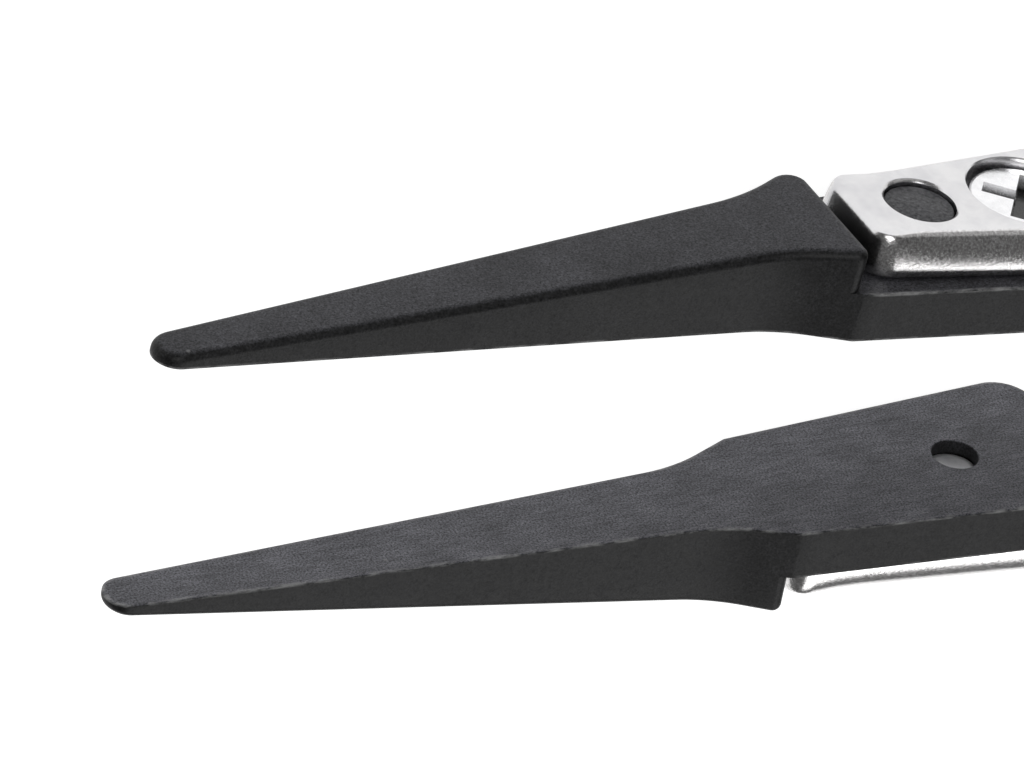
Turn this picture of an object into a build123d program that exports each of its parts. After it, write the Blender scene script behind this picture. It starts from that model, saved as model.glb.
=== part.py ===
"""Precision tweezers with exchangeable moulded tips.

The tweezers lie on their side: X runs along the length with the tips towards -X,
Y is the direction in which the arms open, and Z is the width of the arms.
The origin is under the middle of the tweezers, on the surface they rest on.
The left arm is the one at +Y, and the right arm is its mirror image.
"""
from build123d import *
import os
from math import cos, pi, sin

os.makedirs("parts", exist_ok=True)

# ---- driving dimensions, in millimetres, with angles in radians ----
overall_length = 130.8          # nose of the tips to the end of the heel
tip_length = 30.75              # exposed tip, nose to shoulder
splay = 0.031                   # angle between each arm's front and the middle plane
shoulder_gap = 9.63             # between the tips' inner faces at the shoulder
half_width = 5.0                # half the widest part of the arms

# tip moulding, measured along the tip, outwards from its inner face, and across
nose_half_width = 1.0
nose_thickness = 0.55
flare_length = 4.6              # the sides flare over this length ahead of the shoulder
flare_half_width = 2.17
flare_straight = 1.6            # the last part of the flare is straight
flare_straight_half_width = 2.87
shoulder_half_width = 3.54
shoulder_height = 4.28
lower_shoulder_corner = 0.9     # on the side the tweezers rest on
upper_shoulder_corner = 0.25
tang_thickness = 2.29
tang_length = 15.0
tang_side_slope = 0.072         # how fast the tang widens on each side
tang_corner = 1.6
tip_edge_radius = 0.4

# steel arm
arm_front_gap = 0.75            # from the tip's shoulder to the front edge of the steel
arm_front_half_width = 2.58
arm_front_thickness = 1.98
arm_side_slope = 0.107
arm_taper_end = 17.0            # the straight sides end here and curve into the belly
belly_start = 30.0
belly_end = 50.0
tail_start = 88.0
tail_half_width = 3.2
tail_corner = 2.4
front_corner = 1.2
heel_thickness = 1.3
outer_edge_radius = 0.77
inner_edge_radius = 0.3
bow_front = 18.0                # the arm is straight ahead of here and bowed behind it
bow_front_handle = 34.0
bow_rear_handle = 14.0
weld_start = 88.0

# flexure joint: the round end of the blade turns in a groove of the heel
flexure_at = 0.2                # place along the bow, 0 at the weld and 1 at the front
knuckle_radius = 0.70
knuckle_clearance = 0.025
heel_setback = 0.45

# locating peg and its hole
peg_at = 4.2
peg_radius = 1.5
peg_hole_radius = 1.56
peg_recess = 0.25
peg_hole_chamfer = 0.12

# screw, its counterbore and its thread
screw_at = 9.4
counterbore_radius = 2.57
counterbore_depth = 1.30
screw_hole_radius = 1.40
head_radius = 2.38
head_height = 0.95
head_edge_radius = 0.2
shank_radius = 1.25
thread_hole_radius = 1.27
mouth_radius = 1.02
mouth_depth = 0.60              # narrow mouth between the tang's inner face and the thread
screw_end_depth = 0.70          # the screw's end below the tang's inner face
recess_reach = 1.80
recess_width = 0.80
recess_depth = 0.60
recess_turn = 37.0              # degrees between the recess and the arm's length

# spot welds between the heels
weld_count = 3
weld_radius = 1.2
weld_depth = 0.45
weld_pitch = 3.4
weld_end_distance = 2.6         # from the end of the heel to the first weld

# ---- places worked out from them ----
nose_x = -overall_length / 2
shoulder_x = nose_x + tip_length * cos(splay)
heel_end_x = overall_length / 2
middle_z = half_width
reach = 3 * half_width          # longer than any cut needs

along = Vector(cos(splay), -sin(splay), 0)
outwards = Vector(sin(splay), cos(splay), 0)
shoulder_point = Vector(shoulder_x, shoulder_gap / 2, middle_z)


def arm_point(length, height):
    """Point on the left arm's middle line, behind the shoulder and above the tip's inner face."""
    return shoulder_point + along * length + outwards * height


def facing_out(length, height):
    """Plane at such a point, parallel to the tip's inner face, with its x along the arm."""
    return Plane(origin=arm_point(length, height), x_dir=along, z_dir=outwards)


def side_plane(distance):
    """Plane that the arm's side profile is drawn on, with x along the arm and y outwards."""
    return Plane(origin=shoulder_point + Vector(0, 0, distance), x_dir=along, z_dir=(0, 0, 1))


def bow_controls(heel_lift, front_lift):
    """Control points of the curve between the weld and the straight front of the arm."""
    rear = Vector(shoulder_x + weld_start, heel_lift, middle_z)
    front = arm_point(bow_front, front_lift)
    return [rear, rear - Vector(bow_rear_handle, 0, 0), front + along * bow_front_handle, front]


def curve_point(controls, t):
    """Point of the cubic curve at parameter t."""
    weights = ((1 - t) ** 3, 3 * (1 - t) ** 2 * t, 3 * (1 - t) * t**2, t**3)
    point = Vector(0, 0, 0)
    for control, weight in zip(controls, weights):
        point += control * weight
    return point


def flat(point):
    """The point's place on the XY plane."""
    return (point.X, point.Y)


steel_height = tang_thickness + arm_front_thickness
inner_bow = bow_controls(0, tang_thickness)
outer_bow = bow_controls(heel_thickness, steel_height)
hinge = (curve_point(inner_bow, flexure_at) + curve_point(outer_bow, flexure_at)) * 0.5
print("hinge of the left arm:", round(hinge.X, 3), round(hinge.Y, 3))

# ---- whole arm strip, before it is divided at the flexure ----
tail_x = heel_end_x - shoulder_x
taper_half_width = arm_front_half_width + arm_side_slope * (arm_taper_end - arm_front_gap)
plan_frame = Plane(origin=(shoulder_x, 0, middle_z), x_dir=(1, 0, 0), z_dir=(0, -1, 0))

with BuildPart() as strip:
    front_inner = arm_point(arm_front_gap, tang_thickness)
    front_outer = arm_point(arm_front_gap, steel_height)
    with BuildSketch(Plane.XY):
        with BuildLine():
            Line((heel_end_x, heel_thickness), (heel_end_x, 0))
            Line((heel_end_x, 0), flat(inner_bow[0]))
            Bezier(*[flat(point) for point in inner_bow])
            Line(flat(inner_bow[3]), flat(front_inner))
            Line(flat(front_inner), flat(front_outer))
            Line(flat(front_outer), flat(outer_bow[3]))
            Bezier(*[flat(point) for point in reversed(outer_bow)])
            Line(flat(outer_bow[0]), (heel_end_x, heel_thickness))
        make_face()
    extrude(amount=2 * half_width)
    with BuildSketch(plan_frame) as plan:
        with BuildLine():
            Line((arm_front_gap, 0), (arm_front_gap, arm_front_half_width))
            Line((arm_front_gap, arm_front_half_width), (arm_taper_end, taper_half_width))
            Spline(
                (arm_taper_end, taper_half_width),
                (belly_start, half_width),
                tangents=((1, arm_side_slope), (1, 0)),
            )
            Line((belly_start, half_width), (belly_end, half_width))
            Spline((belly_end, half_width), (tail_start, tail_half_width), tangents=((1, 0), (1, 0)))
            Line((tail_start, tail_half_width), (tail_x, tail_half_width))
            Line((tail_x, tail_half_width), (tail_x, 0))
            mirror(about=Plane.XZ)
        make_face()
        fillet(plan.vertices().group_by(Axis.X)[-1], tail_corner)
        fillet(plan.vertices().group_by(Axis.X)[0], front_corner)
    extrude(amount=reach, both=True, mode=Mode.INTERSECT)
    for direction, radius in ((1, outer_edge_radius), (-1, inner_edge_radius)):
        broad_faces = strip.faces().filter_by(lambda face: face.normal_at().Y * direction > 0.9)
        rim = ShapeList()
        for face in broad_faces:
            others = [other for other in broad_faces if other is not face]
            for edge in face.edges():
                shared = any(edge.is_same(near) for other in others for near in other.edges())
                if not shared:
                    rim.append(edge)
        fillet(rim, radius)

# ---- the strip divided at the flexure ----
with BuildPart() as left_arm_heel:
    add(strip.part)
    with BuildSketch(Plane.XY):
        with Locations((hinge.X + heel_setback + overall_length / 2, 0)):
            Rectangle(overall_length, reach * 2)
        with Locations(flat(hinge)):
            Circle(knuckle_radius + knuckle_clearance, mode=Mode.SUBTRACT)
    extrude(amount=reach, mode=Mode.INTERSECT)
    with BuildSketch(Plane(origin=(heel_end_x, 0, middle_z), x_dir=(1, 0, 0), z_dir=(0, 1, 0))):
        with Locations((-weld_end_distance - weld_pitch * (weld_count - 1) / 2, 0)):
            with GridLocations(weld_pitch, 0, weld_count, 1):
                Circle(weld_radius)
    extrude(amount=weld_depth, mode=Mode.SUBTRACT)

with BuildPart() as left_arm_blade:
    add(strip.part)
    with BuildSketch(Plane.XY):
        with Locations((hinge.X - overall_length / 2, 0)):
            Rectangle(overall_length, reach * 2)
        with Locations(flat(hinge)):
            Circle(knuckle_radius)
    extrude(amount=reach, mode=Mode.INTERSECT)
    with BuildSketch(facing_out(0, steel_height)):
        with Locations((peg_at, 0)):
            Circle(peg_hole_radius)
        with Locations((screw_at, 0)):
            Circle(screw_hole_radius)
    extrude(amount=-2 * arm_front_thickness, mode=Mode.SUBTRACT)
    with BuildSketch(facing_out(screw_at, steel_height)):
        Circle(counterbore_radius)
    extrude(amount=-counterbore_depth, mode=Mode.SUBTRACT)
    with BuildSketch(facing_out(peg_at, steel_height)):
        Circle(peg_hole_radius + peg_hole_chamfer)
    extrude(amount=-peg_hole_chamfer, taper=45, mode=Mode.SUBTRACT)

# ---- tip: taper, shoulder, tang and peg in one moulding ----
nose_diagonal = nose_half_width * sin(pi / 4)
thickness_slope = (shoulder_height - nose_thickness) / tip_length
side_slope = (flare_half_width - nose_half_width) / (tip_length - flare_length - nose_half_width)
tang_end_half_width = shoulder_half_width + tang_side_slope * tang_length

with BuildPart() as left_tip:
    with BuildSketch(facing_out(0, 0)) as tip_plan:
        with BuildLine():
            ThreePointArc(
                (-tip_length, 0),
                (-tip_length + nose_half_width - nose_diagonal, nose_diagonal),
                (-tip_length + nose_half_width, nose_half_width),
            )
            Line((-tip_length + nose_half_width, nose_half_width), (-flare_length, flare_half_width))
            TangentArc(
                (-flare_length, flare_half_width),
                (-flare_straight, flare_straight_half_width),
                tangent=(1, side_slope),
            )
            Line((-flare_straight, flare_straight_half_width), (0, shoulder_half_width))
            Line((0, shoulder_half_width), (tang_length, tang_end_half_width))
            Line((tang_length, tang_end_half_width), (tang_length, 0))
            mirror(about=Plane.XZ)
        make_face()
        fillet(tip_plan.vertices().group_by(Axis.X)[-1], tang_corner)
    extrude(amount=tang_thickness)
    with BuildSketch(facing_out(0, tang_thickness)) as shoulder_plan:
        add(tip_plan.sketch_local)
        with Locations((-tip_length, 0)):
            Rectangle(2 * tip_length, 2 * reach, mode=Mode.INTERSECT)
        corners = shoulder_plan.vertices().group_by(Axis.X)[-1].sort_by(Axis.Y)
        fillet(corners[-1], lower_shoulder_corner)
        fillet(corners[0], upper_shoulder_corner)
    extrude(amount=shoulder_height)
    with BuildSketch(side_plane(-half_width)):
        with BuildLine():
            Polyline(
                (-tip_length - 1, 0),
                (-tip_length - 1, nose_thickness - thickness_slope),
                (0, shoulder_height),
                (tang_length, shoulder_height),
                (tang_length, 0),
                close=True,
            )
        make_face()
    extrude(amount=2 * half_width, mode=Mode.INTERSECT)
    outer_face = left_tip.faces().filter_by(lambda face: face.normal_at().Y > 0.9).sort_by(Axis.X)[0]
    fillet(outer_face.edges(), tip_edge_radius)
    with BuildSketch(facing_out(peg_at, tang_thickness)):
        Circle(peg_radius)
    extrude(amount=arm_front_thickness - peg_recess)
    with BuildSketch(facing_out(screw_at, 0)):
        Circle(mouth_radius)
    extrude(amount=tang_thickness, mode=Mode.SUBTRACT)
    with BuildSketch(facing_out(screw_at, mouth_depth)):
        Circle(thread_hole_radius)
    extrude(amount=tang_thickness, mode=Mode.SUBTRACT)

# ---- screw ----
shank_length = steel_height - counterbore_depth - screw_end_depth

with BuildPart() as left_tip_screw:
    with BuildSketch(facing_out(screw_at, steel_height - counterbore_depth)):
        Circle(head_radius)
    extrude(amount=head_height)
    fillet(left_tip_screw.faces().sort_by(Axis.Y)[-1].edges(), head_edge_radius)
    with BuildSketch(facing_out(screw_at, screw_end_depth)):
        Circle(shank_radius)
    extrude(amount=shank_length)
    with BuildSketch(facing_out(screw_at, steel_height - counterbore_depth + head_height)):
        for turn in (-recess_turn, 90 - recess_turn):
            Rectangle(2 * recess_reach, recess_width, rotation=turn)
    extrude(amount=-recess_depth, taper=12, mode=Mode.SUBTRACT)

# ---- spot welds, one solid each ----
with BuildPart() as spot_welds:
    with BuildSketch(Plane(origin=(heel_end_x, 0, middle_z), x_dir=(1, 0, 0), z_dir=(0, 1, 0))):
        with Locations((-weld_end_distance - weld_pitch * (weld_count - 1) / 2, 0)):
            with GridLocations(weld_pitch, 0, weld_count, 1):
                Circle(weld_radius)
    extrude(amount=weld_depth, both=True)


def mirrored(piece):
    """The same piece on the other side of the middle plane."""
    with BuildPart() as copy:
        mirror(piece, about=Plane.XZ)
    return copy.part


def save(piece, name):
    """Label a finished piece and write its STEP file."""
    piece.label = name
    export_step(piece, f"parts/{name}.step")
    print(name, round(piece.volume, 2), "mm3", len(piece.solids()), "solid(s)")


save(left_arm_heel.part, "left_arm_heel")
save(left_arm_blade.part, "left_arm_blade")
save(left_tip.part, "left_tip")
save(left_tip_screw.part, "left_tip_screw")
save(mirrored(left_arm_heel.part), "right_arm_heel")
save(mirrored(left_arm_blade.part), "right_arm_blade")
save(mirrored(left_tip.part), "right_tip")
save(mirrored(left_tip_screw.part), "right_tip_screw")
save(spot_welds.part, "spot_welds")
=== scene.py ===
"""Looks of the precision tweezers: steel arms, moulded tips and screws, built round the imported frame."""

from math import atan, cos, hypot, pi, radians, sin, tan

import bmesh
import bpy
from mathutils import Matrix, Vector


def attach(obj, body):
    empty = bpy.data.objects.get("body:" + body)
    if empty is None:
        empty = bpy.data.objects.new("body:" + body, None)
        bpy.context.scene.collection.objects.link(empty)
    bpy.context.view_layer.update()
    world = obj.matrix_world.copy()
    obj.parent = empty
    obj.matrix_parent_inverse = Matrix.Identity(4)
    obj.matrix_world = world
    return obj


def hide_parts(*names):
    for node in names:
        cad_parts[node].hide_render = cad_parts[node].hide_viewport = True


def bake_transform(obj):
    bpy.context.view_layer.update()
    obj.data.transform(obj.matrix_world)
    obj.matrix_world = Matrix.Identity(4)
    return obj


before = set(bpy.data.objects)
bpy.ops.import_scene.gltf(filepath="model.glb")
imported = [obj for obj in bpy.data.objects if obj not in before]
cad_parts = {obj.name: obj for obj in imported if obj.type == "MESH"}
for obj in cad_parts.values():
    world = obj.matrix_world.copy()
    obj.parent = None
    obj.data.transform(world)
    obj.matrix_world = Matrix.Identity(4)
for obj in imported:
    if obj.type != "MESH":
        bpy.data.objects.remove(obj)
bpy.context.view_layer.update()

MM = 0.001
WELD_DISTANCE = 2e-7             # points nearer than this, in metres, are one
SMOOTH_ANGLE = radians(32)       # faces that bend less than this look smooth
NARROWEST_TURN = 0.3             # limits how far a sharp corner of an outline moves when it shrinks

# ---- sizes in millimetres and angles in radians, unless a line says otherwise ----
OVERALL_LENGTH = 130.8
TIP_LENGTH = 30.75
SPLAY = 0.031
SHOULDER_GAP = 9.63
MIDDLE_Z = 5.0
HALF_WIDTH = 5.0
SHOULDER_X = -OVERALL_LENGTH / 2 + TIP_LENGTH * cos(SPLAY)

NOSE_HALF_WIDTH = 1.0
NOSE_THICKNESS = 0.55
FLARE_LENGTH = 4.6
FLARE_HALF_WIDTH = 2.17
FLARE_STRAIGHT = 1.6
FLARE_STRAIGHT_HALF_WIDTH = 2.87
SHOULDER_HALF_WIDTH = 3.54
SHOULDER_HEIGHT = 4.28
LOWER_SHOULDER_CORNER = 0.9
UPPER_SHOULDER_CORNER = 0.44
TANG_THICKNESS = 2.29
TANG_LENGTH = 15.0
TANG_SIDE_SLOPE = 0.072
TANG_CORNER = 1.6
NOSE_EDGE_RADIUS = 0.36
SHOULDER_EDGE_RADIUS = 0.42
SHARP_EDGE_RADIUS = 0.045
CAP_INSET = 4 * SHARP_EDGE_RADIUS        # a flat face has a ring this far inside its edge
WALL_MARGIN = 3 * SHARP_EDGE_RADIUS      # an upright wall has a ring this far from its sharp edge
TANG_ROOT = 0.6                  # the tang starts this far inside the shoulder
EDGE_MARK_CLEARANCE = 2.0        # wear marks and painted highlights keep this far from the screw's and peg's centres
EDGE_MARK_START = 0.1            # the wear and painted highlight on the tang's outer edge start this far behind the shoulder
EDGE_BEND = radians(12)          # faces that bend more than this meet at a sharp edge
# how quickly a face that turns upright takes the painted shade of the tip's sides
SIDE_SHADE_GAIN = 4
PEG_MARK_START = 1.0
PEG_MARK_HEIGHT = 0.2
NOSE_STEPS = 14
TAPER_STEPS = 34
FLARE_STEPS = 12
SHOULDER_STEPS = 4
CORNER_STEPS = 10
TANG_SIDE_STEPS = 16
SHARP_EDGE_STEPS = 3
ROUND_EDGE_STEPS = 9

ARM_FRONT_GAP = 0.75
ARM_FRONT_HALF_WIDTH = 2.58
ARM_FRONT_THICKNESS = 1.98
ARM_SIDE_SLOPE = 0.107
ARM_TAPER_END = 17.0
BELLY_START = 30.0
BELLY_END = 50.0
TAIL_START = 88.0
TAIL_HALF_WIDTH = 3.2
TAIL_CORNER = 2.4
FRONT_CORNER = 1.3
HEEL_THICKNESS = 1.3
HOLE_RIM_BEND = radians(25)      # faces of an arm that bend more than this meet at the rim of a hole
OUTER_EDGE_REACH = 0.77
FRONT_EDGE_REACH = 0.30
FRONT_REACH_LENGTH = 3.0
INNER_EDGE_RADIUS = 0.22
BOW_FRONT = 18.0
BOW_FRONT_HANDLE = 34.0
BOW_REAR_HANDLE = 14.0
BOW_STEPS = 240
FRONT_CORNER_STEPS = 12
TAIL_CORNER_STEPS = 14
ARM_STATIONS = 84
INNER_EDGE_STEPS = 4
OUTER_EDGE_STEPS = 14
WELD_START = 88.0

PEG_AT = 4.2
PEG_RADIUS = 1.5
PEG_HOLE_RADIUS = 1.56
PEG_RECESS = 0.25
PEG_HOLE_CHAMFER = 0.12
PEG_EDGE = 0.08
PEG_EDGE_BREAK = 0.03
SCREW_AT = 9.4
COUNTERBORE_RADIUS = 2.57
COUNTERBORE_DEPTH = 1.30
COUNTERBORE_EDGE = 0.05
SCREW_HOLE_RADIUS = 1.40
HEAD_RADIUS = 2.38
HEAD_HEIGHT = 0.95
HEAD_EDGE_RADIUS = 0.2
HEAD_UNDERSIDE_EDGE = 0.05
HEAD_EDGE_STEPS = 6
SCREW_SEGMENTS = 96
SHANK_RADIUS = 1.25
THREAD_DEPTH = 0.2
THREAD_PITCH = 0.45
THREAD_RUN_IN = 0.2              # length over which the thread fades in and out
THREAD_END_GAP = 0.1
THREAD_HEAD_GAP = 0.12
THREAD_STEPS = 44
THREAD_FLATNESS = 1.2            # over one, the thread's crests and roots are flat
THREAD_HOLE_RADIUS = 1.27
MOUTH_RADIUS = 1.02
MOUTH_DEPTH = 0.60
MOUTH_EDGE = 0.04
MOUTH_STEP = 0.06
SCREW_END_DEPTH = 0.70
SCREW_END_CUP = 0.22
SCREW_END_FLAT = 0.82
SCREW_END_RADIUS = 0.93
RECESS_REACH = 1.80
RECESS_WIDTH = 0.80
RECESS_DEPTH = 0.60
RECESS_TURN = 37.0               # degrees
RECESS_TAPER = radians(12)
RECESS_OVERSHOOT = 0.3
RECESS_MARK_MARGIN = 0.05
END_MARK_MARGIN = 0.01
WELD_RADIUS = 1.2
WELD_DEPTH = 0.45
WELD_PITCH = 3.4
WELD_COUNT = 3
WELD_END_DISTANCE = 2.6
OVERSHOOT = 1.0                  # cutting tools reach this far past what they cut
SUNK = 0.5                       # a piece joined to another starts this far inside it

STEEL_HEIGHT = TANG_THICKNESS + ARM_FRONT_THICKNESS
TAIL_X = OVERALL_LENGTH / 2 - SHOULDER_X
HANDS = {"left": 1, "right": -1}


# ---- mesh helpers ----
def arm_matrix(hand):
    """Frame of one tip: x along the arm, z outwards, with its origin at the shoulder's middle."""
    along = Vector((cos(SPLAY), -hand * sin(SPLAY), 0))
    outwards = Vector((sin(SPLAY), hand * cos(SPLAY), 0))
    across = outwards.cross(along)
    origin = Vector((SHOULDER_X, hand * SHOULDER_GAP / 2, MIDDLE_Z)) * MM
    turn = Matrix((along, across, outwards)).transposed().to_4x4()
    return Matrix.Translation(origin) @ turn


def arc(centre, radius, start, end, steps):
    """Points of a circular arc, with both ends."""
    points = []
    for step in range(steps + 1):
        angle = start + (end - start) * step / steps
        points.append((centre[0] + radius * cos(angle), centre[1] + radius * sin(angle)))
    return points


def straight(start, end, steps):
    """Points between two ends, without the first and with the last."""
    points = []
    for step in range(1, steps + 1):
        part = step / steps
        points.append((start[0] + (end[0] - start[0]) * part, start[1] + (end[1] - start[1]) * part))
    return points


def rounded_corner(before, corner, after, radius, steps, sharp=False):
    """Points that round a corner of an outline, or the same number of points on its two legs."""
    corner_point = Vector(corner)
    back = (Vector(before) - corner_point).normalized()
    ahead = (Vector(after) - corner_point).normalized()
    half_angle = back.angle(ahead) / 2
    leg = radius / tan(half_angle)
    centre = corner_point + (back + ahead).normalized() * (radius / sin(half_angle))
    first, last = corner_point + back * leg, corner_point + ahead * leg
    points = []
    for step in range(steps + 1):
        part = step / steps
        if sharp:
            spot = first.lerp(corner_point, 2 * part) if part < 0.5 else corner_point.lerp(last, 2 * part - 1)
        else:
            spot = centre + (first.lerp(last, part) - centre).normalized() * radius
        points.append(tuple(spot))
    return points


def insets(outline):
    """Direction that each point of a closed outline moves in when the outline shrinks by one unit."""
    count = len(outline)
    area = sum(
        outline[i - 1][0] * outline[i][1] - outline[i][0] * outline[i - 1][1] for i in range(count)
    )
    facing = 1 if area > 0 else -1
    directions = []
    for i in range(count):
        before = Vector(outline[i]) - Vector(outline[i - 1])
        after = Vector(outline[(i + 1) % count]) - Vector(outline[i])
        normals = [Vector((-edge.y, edge.x)).normalized() * facing for edge in (before, after)]
        middle = (normals[0] + normals[1]).normalized()
        directions.append(middle / max(NARROWEST_TURN, middle.dot(normals[0])))
    return directions


def loft(rings, place):
    """Closed bmesh of stacked rings. Each ring is its outline, and its inset and height by length."""
    mesh = bmesh.new()
    loops = []
    for outline, inset, height in rings:
        loop = []
        for point, move in zip(outline, insets(outline)):
            spot = Vector(point) + move * inset(point[0])
            loop.append(mesh.verts.new(place(spot.x, spot.y, height(spot.x))))
        loops.append(loop)
    count = len(loops[0])
    for low, high in zip(loops, loops[1:]):
        for i in range(count):
            mesh.faces.new((low[i - 1], low[i], high[i], high[i - 1]))
    for loop in (loops[0], loops[-1]):
        for i in range(count // 2 - 1):
            mesh.faces.new((loop[i], loop[i + 1], loop[count - 2 - i], loop[count - 1 - i]))
    bmesh.ops.remove_doubles(mesh, verts=mesh.verts, dist=WELD_DISTANCE)
    bmesh.ops.recalc_face_normals(mesh, faces=mesh.faces)
    return mesh


def turned(profile, centre, segments=72, ripple=None):
    """Closed bmesh of a profile of (radius, height) turned about the z axis at a length along the arm."""
    mesh = bmesh.new()
    loops = []
    for radius, height in profile:
        loop = []
        for step in range(segments):
            angle = 2 * pi * step / segments
            shown = radius + (ripple(angle, height, radius) if ripple else 0)
            x, y = centre + shown * cos(angle), shown * sin(angle)
            loop.append(mesh.verts.new(Vector((x, y, height)) * MM))
        loops.append(loop)
    for low, high in zip(loops, loops[1:]):
        for i in range(segments):
            mesh.faces.new((low[i - 1], low[i], high[i], high[i - 1]))
    mesh.faces.new(loops[0])
    mesh.faces.new(reversed(loops[-1]))
    bmesh.ops.remove_doubles(mesh, verts=mesh.verts, dist=WELD_DISTANCE)
    bmesh.ops.recalc_face_normals(mesh, faces=mesh.faces)
    return mesh


def finished(mesh, name, matrix=None):
    """Object with this bmesh as its mesh, placed by the matrix if there is one."""
    data = bpy.data.meshes.new(name)
    mesh.to_mesh(data)
    mesh.free()
    piece = bpy.data.objects.new(name, data)
    bpy.context.scene.collection.objects.link(piece)
    if matrix:
        piece.matrix_world = matrix
    return piece


def combine(piece, tool, operation):
    """Cuts the tool out of the piece, or joins it on, and drops the tool."""
    modifier = piece.modifiers.new("combine", "BOOLEAN")
    modifier.object = tool
    modifier.operation = operation
    modifier.solver = "EXACT"
    bpy.context.view_layer.update()
    seen = piece.evaluated_get(bpy.context.evaluated_depsgraph_get())
    data = bpy.data.meshes.new_from_object(seen)
    piece.modifiers.clear()
    old = piece.data
    piece.data = data
    bpy.data.meshes.remove(old)
    bpy.data.objects.remove(tool, do_unlink=True)


def settle(piece, matrix, marks):
    """Keeps each point's place and marks for the materials, moves the mesh and sets its sharp edges."""
    piece.matrix_world = Matrix.Identity(4)
    mesh = bmesh.new()
    mesh.from_mesh(piece.data)
    places = [vertex.co.copy() for vertex in mesh.verts]
    values = {name: [] for name in marks}
    for vertex in mesh.verts:
        bend = max((edge.calc_face_angle(0) for edge in vertex.link_edges), default=0)
        for name, mark in marks.items():
            values[name].append(mark(vertex.co / MM, vertex.normal, bend))
    mesh.free()
    kept = piece.data.attributes.new("place", "FLOAT_VECTOR", "POINT")
    for item, place in zip(kept.data, places):
        item.vector = place
    for name in marks:
        kept = piece.data.attributes.new(name, "FLOAT", "POINT")
        for item, value in zip(kept.data, values[name]):
            item.value = value
    piece.data.transform(matrix)
    piece.data.shade_smooth()
    piece.data.set_sharp_from_angle(angle=SMOOTH_ANGLE)


def constant(value):
    """Function that gives the same value at every length."""
    return lambda length: value


# ---- tips ----
def taper_half():
    """Half outline of a tip from its nose to where the flare is straight."""
    side_slope = (FLARE_HALF_WIDTH - NOSE_HALF_WIDTH) / (TIP_LENGTH - FLARE_LENGTH - NOSE_HALF_WIDTH)
    points = arc((-TIP_LENGTH + NOSE_HALF_WIDTH, 0), NOSE_HALF_WIDTH, pi, pi / 2, NOSE_STEPS)
    points += straight(points[-1], (-FLARE_LENGTH, FLARE_HALF_WIDTH), TAPER_STEPS)
    run = FLARE_LENGTH - FLARE_STRAIGHT
    start_angle = atan(side_slope)
    end_angle = 2 * atan((FLARE_STRAIGHT_HALF_WIDTH - FLARE_HALF_WIDTH) / run) - start_angle
    radius = run / (sin(end_angle) - sin(start_angle))
    centre = (-FLARE_LENGTH - radius * sin(start_angle), FLARE_HALF_WIDTH + radius * cos(start_angle))
    return points + arc(centre, radius, start_angle - pi / 2, end_angle - pi / 2, FLARE_STEPS)[1:]


def shoulder_outline(hand, sharp):
    """Closed outline of a tip ahead of its shoulder, as (length, across), with sharp or rounded corners."""
    flare_end = (-FLARE_STRAIGHT, FLARE_STRAIGHT_HALF_WIDTH)
    shoulder = (0, SHOULDER_HALF_WIDTH)
    outline = []
    for side, radius in ((-hand, UPPER_SHOULDER_CORNER), (hand, LOWER_SHOULDER_CORNER)):
        corner = rounded_corner(flare_end, shoulder, (0, 0), radius, CORNER_STEPS, sharp)
        half = taper_half() + straight(flare_end, corner[0], SHOULDER_STEPS) + corner[1:]
        half = [(length, side * across) for length, across in half]
        outline += half[::-1] if outline else half
    return outline


def tang_outline():
    """Closed outline of the tang, which starts inside the shoulder."""
    shoulder = (0, SHOULDER_HALF_WIDTH)
    end = (TANG_LENGTH, SHOULDER_HALF_WIDTH + TANG_SIDE_SLOPE * TANG_LENGTH)
    corner = rounded_corner(shoulder, end, (TANG_LENGTH, 0), TANG_CORNER, CORNER_STEPS)
    half = [(-TANG_ROOT, SHOULDER_HALF_WIDTH - TANG_ROOT), shoulder]
    half += straight(shoulder, corner[0], TANG_SIDE_STEPS) + corner[1:]
    return half + [(length, -across) for length, across in reversed(half)]


def tip_place(length, across, height):
    """Point of a tip's own frame, in metres."""
    return Vector((length, across, height)) * MM


def edge_radius(length):
    """Radius of the tip's outer edges, which grows towards the shoulder."""
    part = min(1, max(0, (length + TIP_LENGTH) / TIP_LENGTH))
    return NOSE_EDGE_RADIUS + (SHOULDER_EDGE_RADIUS - NOSE_EDGE_RADIUS) * part


def outer_height(length):
    """Height of the tip's outer face over its inner face."""
    slope = (SHOULDER_HEIGHT - NOSE_THICKNESS) / TIP_LENGTH
    return SHOULDER_HEIGHT + slope * min(0, length)


def lower_rings(outline):
    """Rings of the inner face and its sharp edge."""
    radius = SHARP_EDGE_RADIUS
    rings = [(outline, constant(CAP_INSET), constant(0))]
    for step in range(SHARP_EDGE_STEPS + 1):
        angle = pi / 2 * step / SHARP_EDGE_STEPS
        rings.append((outline, constant(radius * (1 - sin(angle))), constant(radius * (1 - cos(angle)))))
    rings.append((outline, constant(0), constant(WALL_MARGIN)))
    return rings


def side_top(length):
    """Height at which the tip's side starts to round over."""
    return outer_height(length) - edge_radius(length)


def ledge_height(length):
    """Height of the ledge round the shoulder's corners, or the side's top where the tip is thinner."""
    return min(TANG_THICKNESS, side_top(length))


def round_rings(outline):
    """Rings of the tip's rounded outer edge."""
    rings = []
    for step in range(ROUND_EDGE_STEPS + 1):
        angle = pi / 2 * step / ROUND_EDGE_STEPS

        def inset(length, angle=angle):
            return edge_radius(length) * (1 - cos(angle))

        def height(length, angle=angle):
            return side_top(length) + edge_radius(length) * sin(angle)

        rings.append((outline, inset, height))
    return rings


def flat_rings(outline, height):
    """Rings of a flat slab's small outer edge."""
    radius = SHARP_EDGE_RADIUS
    rings = [(outline, constant(0), constant(height - WALL_MARGIN))]
    for step in range(SHARP_EDGE_STEPS + 1):
        angle = pi / 2 * step / SHARP_EDGE_STEPS
        inset = constant(radius * (1 - cos(angle)))
        rings.append((outline, inset, constant(height - radius * (1 - sin(angle)))))
    rings.append((outline, constant(CAP_INSET), constant(height)))
    return rings


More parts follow.
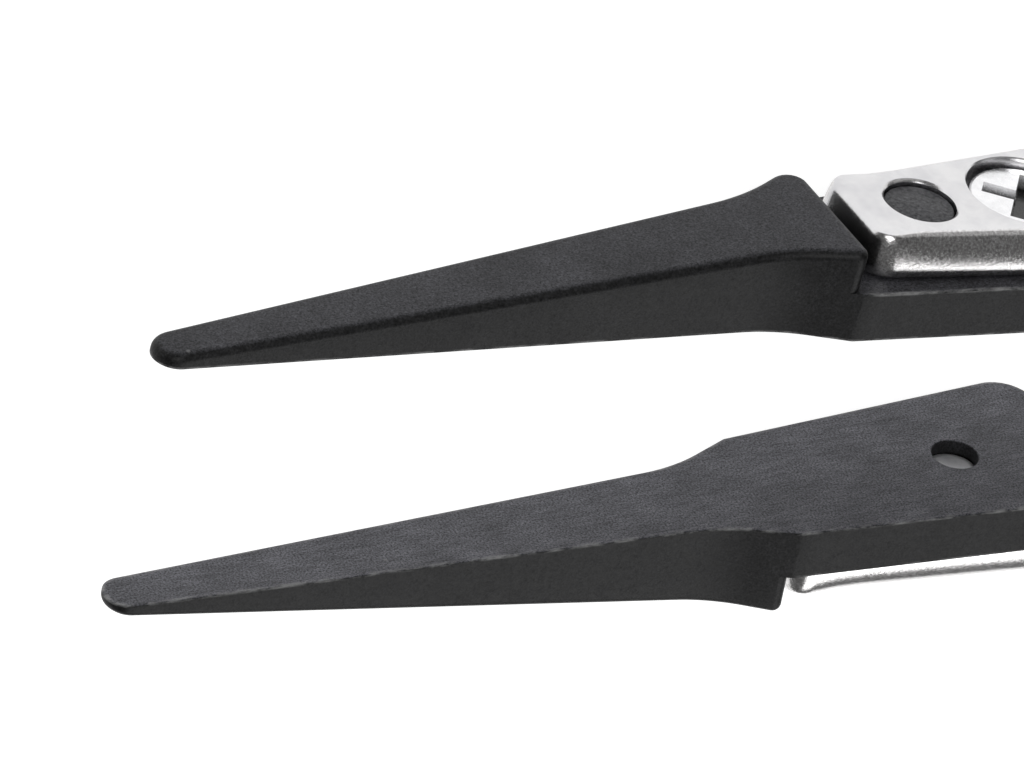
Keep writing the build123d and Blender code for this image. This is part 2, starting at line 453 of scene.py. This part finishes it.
# A mark gives a value for a point's place in millimetres, its normal and how sharply the faces bend there.
def inner_mark(place, _normal, _bend):
    """One on a tip's inner face, none on its sides."""
    return max(0, 1 - place.z / SHARP_EDGE_RADIUS)


def edge_rub_and_highlight_mark(place, _normal, bend):
    """One along a tip's sharp edges, away from its screw hole and peg; it places the pale lines that are
    partly wear and partly painted highlight.
    """
    near = 1.5 * SHARP_EDGE_RADIUS
    low = place.z < near
    high = place.x > EDGE_MARK_START and abs(place.z - TANG_THICKNESS) < near
    clear = min(hypot(place.x - at, place.y) for at in (SCREW_AT, PEG_AT)) > EDGE_MARK_CLEARANCE
    return 1 if (low or high) and clear and bend > EDGE_BEND else 0


def side_shade_mark(_place, normal, _bend):
    """One on a tip's upright sides, none on its flat faces; it places the painted shade on the sides."""
    return min(1, (1 - abs(normal.z)) * SIDE_SHADE_GAIN)


def peg_mark(place, _normal, _bend):
    """One on a tip's peg."""
    return 1 if place.x > PEG_MARK_START and place.z > TANG_THICKNESS + PEG_MARK_HEIGHT else 0


TIP_MARKS = {"inner": inner_mark, "edge": edge_rub_and_highlight_mark, "side_shade": side_shade_mark, "peg": peg_mark}


def tip(hand, name):
    """Moulded tip: taper, shoulder, tang with its screw hole, and peg."""
    sharp, rounded = shoulder_outline(hand, True), shoulder_outline(hand, False)
    rings = lower_rings(sharp)
    rings += [(outline, constant(0), ledge_height) for outline in (sharp, rounded)]
    rings += round_rings(rounded)
    piece = finished(loft(rings, tip_place), name)
    slab = tang_outline()
    rings = lower_rings(slab) + flat_rings(slab, TANG_THICKNESS)
    combine(piece, finished(loft(rings, tip_place), "tang"), "UNION")
    peg_top = STEEL_HEIGHT - PEG_RECESS
    profile = [(0, TANG_THICKNESS - SUNK), (PEG_RADIUS, TANG_THICKNESS - SUNK)]
    profile += [(PEG_RADIUS, peg_top - PEG_EDGE), (PEG_RADIUS - PEG_EDGE_BREAK, peg_top - PEG_EDGE_BREAK)]
    profile += [(PEG_RADIUS - PEG_EDGE, peg_top), (0, peg_top)]
    combine(piece, finished(turned(profile, PEG_AT), "peg"), "UNION")
    rim, over = MOUTH_RADIUS + MOUTH_EDGE, TANG_THICKNESS + OVERSHOOT
    profile = [(0, -OVERSHOOT), (rim, -OVERSHOOT), (rim, 0), (MOUTH_RADIUS, MOUTH_EDGE)]
    profile += [(MOUTH_RADIUS, MOUTH_DEPTH), (THREAD_HOLE_RADIUS, MOUTH_DEPTH + MOUTH_STEP)]
    profile += [(THREAD_HOLE_RADIUS, over), (0, over)]
    combine(piece, finished(turned(profile, SCREW_AT), "hole"), "DIFFERENCE")
    settle(piece, arm_matrix(hand), TIP_MARKS)
    return piece


# ---- steel arms ----
def curve_point(controls, part):
    """Point of a cubic curve."""
    weights = ((1 - part) ** 3, 3 * (1 - part) ** 2 * part, 3 * (1 - part) * part**2, part**3)
    return sum((control * weight for control, weight in zip(controls, weights)), Vector((0, 0)))


def arm_line(heel_lift, front_lift):
    """Points of one face of the left arm in side view, from the front to the heel."""
    along = Vector((cos(SPLAY), -sin(SPLAY)))
    outwards = Vector((sin(SPLAY), cos(SPLAY)))
    shoulder = Vector((SHOULDER_X, SHOULDER_GAP / 2))
    front = shoulder + along * BOW_FRONT + outwards * front_lift
    rear = Vector((SHOULDER_X + WELD_START, heel_lift))
    controls = [front, front + along * BOW_FRONT_HANDLE, rear - Vector((BOW_REAR_HANDLE, 0)), rear]
    points = [shoulder - along + outwards * front_lift]
    points += [curve_point(controls, step / BOW_STEPS) for step in range(BOW_STEPS + 1)]
    points.append(Vector((OVERALL_LENGTH / 2 + OVERSHOOT, heel_lift)))
    return points


def line_at(points, x):
    """Height and slope of such a line at this x."""
    for before, after in zip(points, points[1:]):
        if x <= after.x:
            break
    slope = (after.y - before.y) / (after.x - before.x)
    return before.y + slope * (x - before.x), slope


INNER_LINE = arm_line(0, TANG_THICKNESS)
OUTER_LINE = arm_line(HEEL_THICKNESS, STEEL_HEIGHT)


def arm_place(hand):
    """Function that puts a point given as length behind the shoulder, across and part of the thickness."""

    def place(length, across, part):
        x = SHOULDER_X + length
        y, slope = line_at(INNER_LINE, x)
        normal = Vector((-slope, 1)).normalized()
        thickness = HEEL_THICKNESS
        for _attempt in range(4):
            outer, _outer_slope = line_at(OUTER_LINE, x + normal.x * thickness)
            thickness = (outer - y) / normal.y
        x += normal.x * thickness * part
        y += normal.y * thickness * part
        return Vector((x, hand * y, MIDDLE_Z + across)) * MM

    return place


def ease(start, end, start_value, end_value, start_slope, x):
    """Cubic from one value and slope to another value, where it is level."""
    span = end - start
    part = (x - start) / span
    rise = end_value - start_value
    lift = start_slope * span * part * (1 - part) ** 2
    return start_value + rise * part * part * (3 - 2 * part) + lift


def arm_half_width(length):
    """Half of the arm's width at this length behind the shoulder."""
    taper_end = ARM_FRONT_HALF_WIDTH + ARM_SIDE_SLOPE * (ARM_TAPER_END - ARM_FRONT_GAP)
    if length < ARM_TAPER_END:
        return ARM_FRONT_HALF_WIDTH + ARM_SIDE_SLOPE * (length - ARM_FRONT_GAP)
    if length < BELLY_START:
        return ease(ARM_TAPER_END, BELLY_START, taper_end, HALF_WIDTH, ARM_SIDE_SLOPE, length)
    if length < BELLY_END:
        return HALF_WIDTH
    if length < TAIL_START:
        return ease(BELLY_END, TAIL_START, HALF_WIDTH, TAIL_HALF_WIDTH, 0, length)
    return TAIL_HALF_WIDTH


def arm_outline():
    """Closed outline of an arm seen from outside, as (length, across)."""
    front = (ARM_FRONT_GAP, ARM_FRONT_HALF_WIDTH)
    behind = (ARM_TAPER_END, arm_half_width(ARM_TAPER_END))
    points = rounded_corner((ARM_FRONT_GAP, 0), front, behind, FRONT_CORNER, FRONT_CORNER_STEPS)
    before, tail_corner = (TAIL_START, TAIL_HALF_WIDTH), (TAIL_X, TAIL_HALF_WIDTH)
    tail = rounded_corner(before, tail_corner, (TAIL_X, 0), TAIL_CORNER, TAIL_CORNER_STEPS)
    start, end = points[-1][0], tail[0][0]
    for station in range(1, ARM_STATIONS):
        length = start + (end - start) * station / ARM_STATIONS
        points.append((length, arm_half_width(length)))
    points += tail
    return points + [(length, -across) for length, across in reversed(points)]


def outer_reach(length):
    """How far the rounding of an arm's outer edge reaches in, which is less at the front edge."""
    part = min(1, max(0, (length - ARM_FRONT_GAP) / FRONT_REACH_LENGTH))
    return FRONT_EDGE_REACH + (OUTER_EDGE_REACH - FRONT_EDGE_REACH) * part * part * (3 - 2 * part)


def arm_rings():
    """Rings of an arm: a small inner edge, then a side that curves over into the outer face."""
    outline = arm_outline()
    rings = []
    inner_part = INNER_EDGE_RADIUS / ARM_FRONT_THICKNESS
    for step in range(INNER_EDGE_STEPS + 1):
        angle = pi / 2 * step / INNER_EDGE_STEPS
        inset = constant(INNER_EDGE_RADIUS * (1 - sin(angle)))
        rings.append((outline, inset, constant(inner_part * (1 - cos(angle)))))
    for step in range(1, OUTER_EDGE_STEPS + 1):
        angle = pi / 2 * step / OUTER_EDGE_STEPS

        def inset(length, angle=angle):
            return outer_reach(length) * (1 - cos(angle))

        rings.append((outline, inset, constant(inner_part + (1 - inner_part) * sin(angle))))
    return rings


def side_mark(_place, normal, bend):
    """Zero on an arm's flat faces and round its holes, and up to one where its side is upright."""
    return 0 if bend > HOLE_RIM_BEND else abs(normal.z)


def arm(hand, name):
    """Steel arm from its front edge to the heel, in one strip, with its two holes and the weld pockets."""
    piece = finished(loft(arm_rings(), arm_place(hand)), name)
    matrix = arm_matrix(hand)
    under, over = TANG_THICKNESS - SUNK, STEEL_HEIGHT + OVERSHOOT
    seat = STEEL_HEIGHT - COUNTERBORE_DEPTH
    edge = COUNTERBORE_EDGE
    rim = PEG_HOLE_RADIUS + PEG_HOLE_CHAMFER
    peg_hole = [(0, under), (PEG_HOLE_RADIUS, under), (PEG_HOLE_RADIUS, STEEL_HEIGHT - PEG_HOLE_CHAMFER)]
    peg_hole += [(PEG_HOLE_RADIUS + PEG_HOLE_CHAMFER / 2, STEEL_HEIGHT - PEG_HOLE_CHAMFER / 3)]
    peg_hole += [(rim, STEEL_HEIGHT), (rim, over), (0, over)]
    screw_hole = [(0, under), (SCREW_HOLE_RADIUS, under), (SCREW_HOLE_RADIUS, seat)]
    screw_hole += [(COUNTERBORE_RADIUS - edge, seat), (COUNTERBORE_RADIUS, seat + edge)]
    screw_hole += [(COUNTERBORE_RADIUS, STEEL_HEIGHT - edge), (COUNTERBORE_RADIUS + edge, STEEL_HEIGHT)]
    screw_hole += [(COUNTERBORE_RADIUS + edge, over), (0, over)]
    for profile, place in ((peg_hole, PEG_AT), (screw_hole, SCREW_AT)):
        combine(piece, finished(turned(profile, place), "hole", matrix), "DIFFERENCE")
    for number in range(WELD_COUNT):
        x = OVERALL_LENGTH / 2 - WELD_END_DISTANCE - WELD_PITCH * number
        profile = [(0, -OVERSHOOT), (WELD_RADIUS, -OVERSHOOT), (WELD_RADIUS, WELD_DEPTH), (0, WELD_DEPTH)]
        pocket = turned(profile, 0)
        turn = Matrix.Rotation(-hand * pi / 2, 4, "X")
        spot = Matrix.Translation(Vector((x, 0, MIDDLE_Z)) * MM) @ turn
        combine(piece, finished(pocket, "pocket", spot), "DIFFERENCE")
    settle(piece, Matrix.Identity(4), {"side": side_mark})
    return piece


# ---- screws ----
def recess_bar(turn, top):
    """Cutter for one bar of the cross recess, with leaning walls."""
    mesh = bmesh.new()
    shrink = RECESS_DEPTH * tan(RECESS_TAPER)
    loops = []
    for height, less in ((top - RECESS_DEPTH, shrink), (top, 0), (top + RECESS_OVERSHOOT, 0)):
        reach, half = RECESS_REACH - less, RECESS_WIDTH / 2 - less
        loop = []
        for x, y in ((reach, half), (-reach, half), (-reach, -half), (reach, -half)):
            spot = Matrix.Rotation(turn, 2) @ Vector((x, y))
            loop.append(mesh.verts.new(Vector((SCREW_AT + spot.x, spot.y, height)) * MM))
        loops.append(loop)
    for low, high in zip(loops, loops[1:]):
        for i in range(4):
            mesh.faces.new((low[i - 1], low[i], high[i], high[i - 1]))
    mesh.faces.new(loops[0])
    mesh.faces.new(loops[-1])
    bmesh.ops.recalc_face_normals(mesh, faces=mesh.faces)
    return mesh


def screw(hand, name):
    """Low-head screw with a cross recess and a rolled thread."""
    seat = STEEL_HEIGHT - COUNTERBORE_DEPTH
    top = seat + HEAD_HEIGHT
    thread_start = SCREW_END_DEPTH + THREAD_END_GAP
    thread_end = seat - THREAD_HEAD_GAP
    profile = [(0, SCREW_END_DEPTH + SCREW_END_CUP), (SCREW_END_FLAT, SCREW_END_DEPTH)]
    profile.append((SCREW_END_RADIUS, SCREW_END_DEPTH))
    for step in range(THREAD_STEPS + 1):
        height = thread_start + (thread_end - thread_start) * step / THREAD_STEPS
        profile.append((SHANK_RADIUS - THREAD_DEPTH / 2, height))
    profile += [(SHANK_RADIUS - THREAD_DEPTH / 5, seat - THREAD_HEAD_GAP / 2), (SHANK_RADIUS, seat)]
    profile += [(HEAD_RADIUS - HEAD_UNDERSIDE_EDGE, seat), (HEAD_RADIUS, seat + HEAD_UNDERSIDE_EDGE)]
    edge_centre = (HEAD_RADIUS - HEAD_EDGE_RADIUS, top - HEAD_EDGE_RADIUS)
    profile += arc(edge_centre, HEAD_EDGE_RADIUS, 0, pi / 2, HEAD_EDGE_STEPS)[1:]
    profile.append((0, top))

    def thread(angle, height, radius):
        if not thread_start < height < thread_end or radius < SCREW_END_FLAT:
            return 0
        turn = (height / THREAD_PITCH - hand * angle / (2 * pi)) % 1
        ridge = 1 - abs(2 * turn - 1) * 2
        run_in = min(1, (height - thread_start) / THREAD_RUN_IN, (thread_end - height) / THREAD_RUN_IN)
        return THREAD_DEPTH / 2 * max(-1, min(1, ridge * THREAD_FLATNESS)) * run_in

    piece = finished(turned(profile, SCREW_AT, SCREW_SEGMENTS, thread), name)
    for turn in (-RECESS_TURN, 90 - RECESS_TURN):
        combine(piece, finished(recess_bar(hand * radians(turn), top), "bar"), "DIFFERENCE")

    # marks the points inside the cross recess, which get the painted shade
    def recess_shade_mark(place, _normal, _bend):
        deep = top - RECESS_DEPTH - RECESS_MARK_MARGIN < place.z < top - RECESS_MARK_MARGIN
        near = hypot(place.x - SCREW_AT, place.y) < RECESS_REACH + 2 * RECESS_MARK_MARGIN
        return 1 if deep and near else 0

    def end_mark(place, _normal, _bend):
        return 1 if place.z < SCREW_END_DEPTH + SCREW_END_CUP + END_MARK_MARGIN else 0

    settle(piece, arm_matrix(hand), {"recess": recess_shade_mark, "end": end_mark})
    return piece


# ---- materials ----
class Finish:
    """Builds one node material step by step."""

    def __init__(self, name, settled=True, **sockets):
        self.material = bpy.data.materials.new(name)
        self.material.use_nodes = True
        self.tree = self.material.node_tree
        self.shader = self.tree.nodes["Principled BSDF"]
        for socket, value in sockets.items():
            self.shader.inputs[socket.replace("_", " ")].default_value = value
        if settled:
            self.where = self.add("ShaderNodeAttribute", attribute_name="place").outputs["Vector"]
        else:
            self.where = self.add("ShaderNodeTexCoord").outputs["Object"]
        self.height = None

    def add(self, kind, inputs=None, **settings):
        """New node with these settings, and inputs by name or number that are values or other outputs."""
        node = self.tree.nodes.new(kind)
        for key, value in settings.items():
            setattr(node, key, value)
        for key, value in (inputs or {}).items():
            if isinstance(value, bpy.types.NodeSocket):
                self.tree.links.new(value, node.inputs[key])
            else:
                node.inputs[key].default_value = value
        return node

    def stretched(self, scale):
        """Coordinates multiplied by these three factors."""
        return self.add("ShaderNodeMapping", {"Vector": self.where, "Scale": scale}).outputs[0]

    def noise(self, scale, detail, roughness, where=None):
        """Noise from about 0 to 1, with this many features to the metre."""
        inputs = {"Vector": where or self.where, "Scale": scale, "Detail": detail, "Roughness": roughness}
        return self.add("ShaderNodeTexNoise", inputs).outputs[0]

    def spread(self, value, low, high, to_low, to_high):
        """The value's range low to high made into another range, and held there."""
        inputs = {"Value": value, "From Min": low, "From Max": high, "To Min": to_low, "To Max": to_high}
        return self.add("ShaderNodeMapRange", inputs).outputs[0]

    def math(self, operation, first, second):
        """Result of one operation on two values."""
        return self.add("ShaderNodeMath", {0: first, 1: second}, operation=operation).outputs[0]

    def mark(self, name):
        """Value painted on the mesh under this name."""
        return self.add("ShaderNodeAttribute", attribute_name=name).outputs["Fac"]

    def blend(self, amount, first, second, kind="MIX"):
        """Mix of two colours."""
        node = self.add("ShaderNodeMix", data_type="RGBA", blend_type=kind)
        for socket, value in ((0, amount), (6, first), (7, second)):
            if isinstance(value, bpy.types.NodeSocket):
                self.tree.links.new(value, node.inputs[socket])
            else:
                node.inputs[socket].default_value = value
        return node.outputs[2]

    def bump(self, value, strength, distance):
        """Adds relief from a value, over the relief that is already there."""
        inputs = {"Height": value, "Strength": strength, "Distance": distance}
        if self.height:
            inputs["Normal"] = self.height
        self.height = self.add("ShaderNodeBump", inputs).outputs[0]

    def done(self, colour=None, roughness=None):
        """Joins the results to the shader and gives the material."""
        for socket, value in (("Base Color", colour), ("Roughness", roughness), ("Normal", self.height)):
            if value:
                self.tree.links.new(value, self.shader.inputs[socket])
        return self.material


def grey(level, tint=1.0):
    """Grey of this linear level, a little cooler if the tint is over 1."""
    return (level, level, level * tint, 1)


def plastic():
    """Dark fibre-filled plastic with fine grain and flow streaks, painted shade on its upright sides, and
    pale edges that are partly wear and partly painted highlight.
    """
    finish = Finish("tip_plastic", Specular_IOR_Level=0.15)
    streaks = finish.noise(1, 4, 0.65, finish.stretched((600, 3200, 2600)))
    mottle = finish.noise(4200, 3, 0.6)
    grain = finish.noise(11000, 2, 0.7)
    patches = finish.noise(420, 3, 0.6)
    top_colour = finish.blend(finish.spread(mottle, 0.3, 0.7, 0, 1), grey(0.026, 1.12), grey(0.043, 1.12))
    # painted shade: the tip's upright sides get a darker copy of the plastic's colour, standing in for the
    # light that falls less on them
    shaded_side_colour = finish.blend(finish.spread(mottle, 0.3, 0.7, 0, 1), grey(0.005, 1.05), grey(0.014, 1.05))
    outside = finish.blend(finish.mark("side_shade"), top_colour, shaded_side_colour)
    inside = finish.blend(finish.spread(streaks, 0.32, 0.68, 0, 1), grey(0.062, 1.12), grey(0.104, 1.12))
    colour = finish.blend(finish.mark("inner"), outside, inside)
    speck = finish.spread(grain, 0.3, 0.7, 0.1, 1.9)
    patch = finish.spread(patches, 0.3, 0.7, 0.75, 1.25)
    colour = finish.blend(1.0, colour, finish.math("MULTIPLY", speck, patch), "MULTIPLY")
    peg_grain = finish.spread(finish.noise(5200, 4, 0.75), 0.35, 0.68, 0.0, 1.0)
    peg_colour = finish.blend(peg_grain, grey(0.020, 1.12), grey(0.11, 1.05))
    colour = finish.blend(finish.mark("peg"), colour, peg_colour)
    # pale lines along the sharp edges: partly wear, partly a painted highlight, most of all along the tang's
    # outer edge
    rub_and_glint_noise = finish.noise(1, 4, 0.7, finish.stretched((900, 2600, 2600)))
    rubbed_and_highlit_edges = finish.math("MULTIPLY", finish.mark("edge"), finish.spread(rub_and_glint_noise, 0.42, 0.62, 0, 0.7))
    colour = finish.blend(rubbed_and_highlit_edges, colour, grey(0.27))
    dust = finish.add("ShaderNodeTexVoronoi", {"Vector": finish.where, "Scale": 330.0}).outputs["Distance"]
    colour = finish.blend(finish.spread(dust, 0.02, 0.035, 0.4, 0), colour, grey(0.22))
    finish.bump(streaks, 0.1, 0.00003)
    finish.bump(mottle, 0.18, 0.00003)
    finish.bump(grain, 0.18, 0.00002)
    return finish.done(colour, finish.spread(mottle, 0.3, 0.7, 0.38, 0.52))


def steel():
    """Blasted and tumbled stainless steel, mottled where the side curves over."""
    finish = Finish("arm_steel", Metallic=1.0)
    speckle = finish.noise(9000, 3, 0.7)
    cloud = finish.noise(700, 3, 0.6)
    brushed = finish.noise(1, 3, 0.6, finish.stretched((900, 9000, 9000)))
    clouds = finish.spread(cloud, 0.35, 0.65, 0, 1)
    face = finish.blend(clouds, (0.60, 0.595, 0.61, 1), (0.69, 0.685, 0.69, 1))
    speckles = finish.spread(speckle, 0.3, 0.7, 0, 1)
    side = finish.blend(speckles, (0.42, 0.41, 0.405, 1), (0.86, 0.85, 0.85, 1))
    band = finish.spread(finish.mark("side"), 0.15, 0.4, 0, 1)
    colour = finish.blend(band, face, side)
    finish.bump(speckle, 0.17, 0.00003)
    finish.bump(brushed, 0.06, 0.00002)
    return finish.done(colour, finish.spread(speckle, 0.3, 0.7, 0.17, 0.26))


def bright_steel():
    """Turned and plated screw steel, with painted shade in its recess, and dull at its end."""
    finish = Finish("screw_steel", Metallic=1.0)
    speckle = finish.noise(7000, 3, 0.7)
    cloud = finish.noise(1500, 3, 0.6)
    colour = finish.blend(finish.spread(cloud, 0.3, 0.7, 0, 1), (0.76, 0.76, 0.77, 1), (0.90, 0.90, 0.91, 1))
    # painted shade: the cross recess is painted near black, standing in for the shadow inside it
    colour = finish.blend(finish.mark("recess"), colour, grey(0.05))
    finish.bump(speckle, 0.10, 0.00002)
    rough_end = finish.math("MULTIPLY", finish.mark("end"), 0.45)
    return finish.done(colour, finish.math("ADD", rough_end, finish.spread(speckle, 0.3, 0.7, 0.16, 0.30)))


def weld_steel():
    """Weld metal, dull and tinted where it was hot."""
    finish = Finish("weld_steel", False, Metallic=1.0)
    heat = finish.noise(1800, 4, 0.65)
    grain = finish.noise(6000, 3, 0.7)
    colour = finish.blend(finish.spread(heat, 0.35, 0.65, 0, 1), (0.42, 0.40, 0.38, 1), (0.60, 0.52, 0.42, 1))
    finish.bump(grain, 0.5, 0.00005)
    return finish.done(colour, finish.spread(grain, 0.3, 0.7, 0.35, 0.6))


# ---- assembly ----
plastic_finish, arm_finish, screw_finish = plastic(), steel(), bright_steel()
for side, hand in HANDS.items():
    strip = arm(hand, f"{side}_arm")
    strip.data.materials.clear()
    strip.data.materials.append(arm_finish)
    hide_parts(f"{side}_arm_heel", f"{side}_arm_blade")
    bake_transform(strip)
    for piece, node, finish, slot in (
        (tip(hand, f"{side}_tip_moulding"), f"{side}_tip", plastic_finish, "tip_plastic"),
        (screw(hand, f"{side}_screw"), f"{side}_tip_screw", screw_finish, "screw_steel"),
    ):
        piece.data.materials.clear()
        piece.data.materials.append(finish)
        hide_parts(node)
        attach(piece, f"{side}_arm")

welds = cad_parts["spot_welds"]
weld_finish = weld_steel()
for material_slot in welds.material_slots:
    material_slot.material = weld_finish

# ---- stage, light and camera ----
FLOOR_GLOW = 0.93
FLOOR_HALF_SIDE = 1.5            # metres
LAMP_AIM = (-0.04, 0, 0.005)     # metres, a little in front of the tips' shoulders
CAMERA_LENS = 316.40625
CAMERA_SENSOR = 36
CAMERA_OFFSET = (-189.224, 197.372, 255.084)  # millimetres, from the middle between the tips' shoulders
CAMERA_ANGLES = (-38.48762652, -27.09904055, 12.17333332)  # degrees

scene = bpy.context.scene
scene.view_settings.view_transform = "Standard"


def floor():
    """Large pale floor that glows almost white, so that shadows on it stay faint."""
    mesh = bmesh.new()
    bmesh.ops.create_grid(mesh, x_segments=1, y_segments=1, size=FLOOR_HALF_SIDE)
    piece = finished(mesh, "floor")
    finish = Finish("floor_paint", False, Roughness=0.7)
    finish.shader.inputs["Base Color"].default_value = grey(0.35)
    finish.shader.inputs["Emission Color"].default_value = grey(1.0)
    finish.shader.inputs["Emission Strength"].default_value = FLOOR_GLOW
    piece.data.materials.append(finish.done())


def lamp(name, direction, distance, size, power):
    """Soft rectangular light in this direction from the tips, turned to face them."""
    data = bpy.data.lights.new(name, "AREA")
    data.shape = "RECTANGLE"
    data.size, data.size_y = size
    data.energy = power
    piece = bpy.data.objects.new(name, data)
    towards = Vector(direction).normalized()
    piece.location = Vector(LAMP_AIM) + towards * distance
    piece.rotation_euler = towards.to_track_quat("Z", "Y").to_euler()
    scene.collection.objects.link(piece)


floor()
lamp("overhead", (-0.3, 0.6, 1.0), 0.6, (0.35, 0.35), 1.6)
lamp("front", (0.30, -0.64, 0.70), 0.6, (0.60, 0.34), 2.0)
lamp("side", (0.45, 0.85, 0.28), 0.8, (1.0, 0.5), 0.55)

world = bpy.data.worlds.new("studio")
world.use_nodes = True
background = world.node_tree.nodes["Background"]
background.inputs["Color"].default_value = grey(0.12)
background.inputs["Strength"].default_value = 1.0
scene.world = world

camera_data = bpy.data.cameras.new("camera")
camera_data.lens = CAMERA_LENS
camera_data.sensor_width = CAMERA_SENSOR
camera = bpy.data.objects.new("camera", camera_data)
back, aside, above = CAMERA_OFFSET
camera.location = Vector((SHOULDER_X + back, aside, MIDDLE_Z + above)) * MM
camera.rotation_euler = [radians(angle) for angle in CAMERA_ANGLES]
scene.collection.objects.link(camera)
scene.camera = camera
